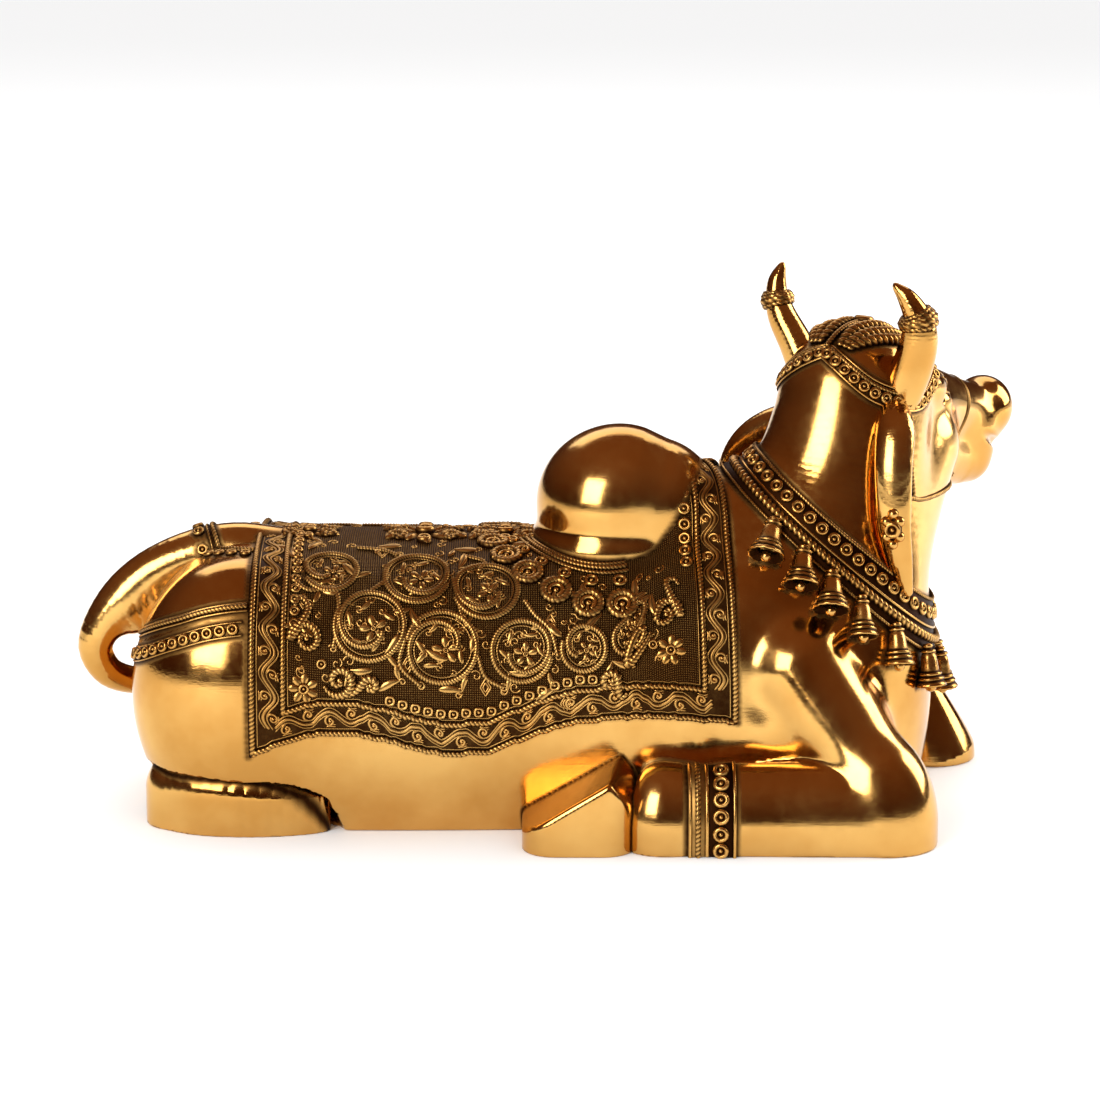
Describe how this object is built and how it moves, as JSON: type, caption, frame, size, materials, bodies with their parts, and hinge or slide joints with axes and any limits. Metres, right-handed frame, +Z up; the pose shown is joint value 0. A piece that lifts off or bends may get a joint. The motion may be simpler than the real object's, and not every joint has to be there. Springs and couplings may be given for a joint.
{
  "type": "brass nandi bull figure",
  "caption": "Reclining cast brass bull with a saddle cloth, hump garland, collar of bells, head dress and a hollow open underside.",
  "frame": {"origin": "on the resting surface, under the middle of the figure's whole bounding box", "axes": "+X is the way the bull's body faces, +Z is up, +Y is the bull's left, the side its head turns to"},
  "size_m": [0.379, 0.181, 0.2124],
  "materials": {
    "polished_brass": "hand-polished golden brass with faint swirl marks and dark patina in its creases",
    "antique_relief_brass": "chased relief brass, bright on its crests and black-brown antique patina in its grounds"
  },
  "bodies": {
    "root": {"body_casting": "polished_brass", "breeching_bosses": "antique_relief_brass", "breeching_strap": "antique_relief_brass", "cheek_straps": "antique_relief_brass", "collar_band": "antique_relief_brass", "collar_bell_clappers": "antique_relief_brass", "collar_bells": "antique_relief_brass", "collar_bosses": "antique_relief_brass", "collar_rope": "antique_relief_brass", "croup_bosses": "antique_relief_brass", "croup_crescent": "antique_relief_brass", "head_band": "antique_relief_brass", "head_band_bosses": "antique_relief_brass", "head_casting": "polished_brass", "hump_dome": "polished_brass", "hump_pendants": "antique_relief_brass", "hump_ring_bosses": "antique_relief_brass", "hump_rope_ring": "antique_relief_brass", "left_anklet": "antique_relief_brass", "left_ear": "polished_brass", "left_ear_pendant": "antique_relief_brass", "left_fore_hoof": "polished_brass", "left_foreleg": "polished_brass", "left_hind_foot": "polished_brass", "left_horn": "polished_brass", "left_horn_rings": "antique_relief_brass", "neck_casting": "polished_brass", "nose_band": "antique_relief_brass", "poll_ornament": "antique_relief_brass", "right_anklet": "antique_relief_brass", "right_anklet_bosses": "antique_relief_brass", "right_ear": "polished_brass", "right_ear_pendant": "antique_relief_brass", "right_fore_hoof": "polished_brass", "right_foreleg": "polished_brass", "right_hind_foot": "polished_brass", "right_horn": "polished_brass", "right_horn_rings": "antique_relief_brass", "saddle_bosses": "antique_relief_brass", "saddle_cloth": "antique_relief_brass", "saddle_corner_scrolls": "antique_relief_brass", "saddle_inner_rope": "antique_relief_brass", "saddle_outer_rope": "antique_relief_brass", "saddle_scrolls": "antique_relief_brass", "saddle_vine": "antique_relief_brass", "spine_rosettes": "antique_relief_brass", "tail": "polished_brass"}
  },
  "joints": []
}
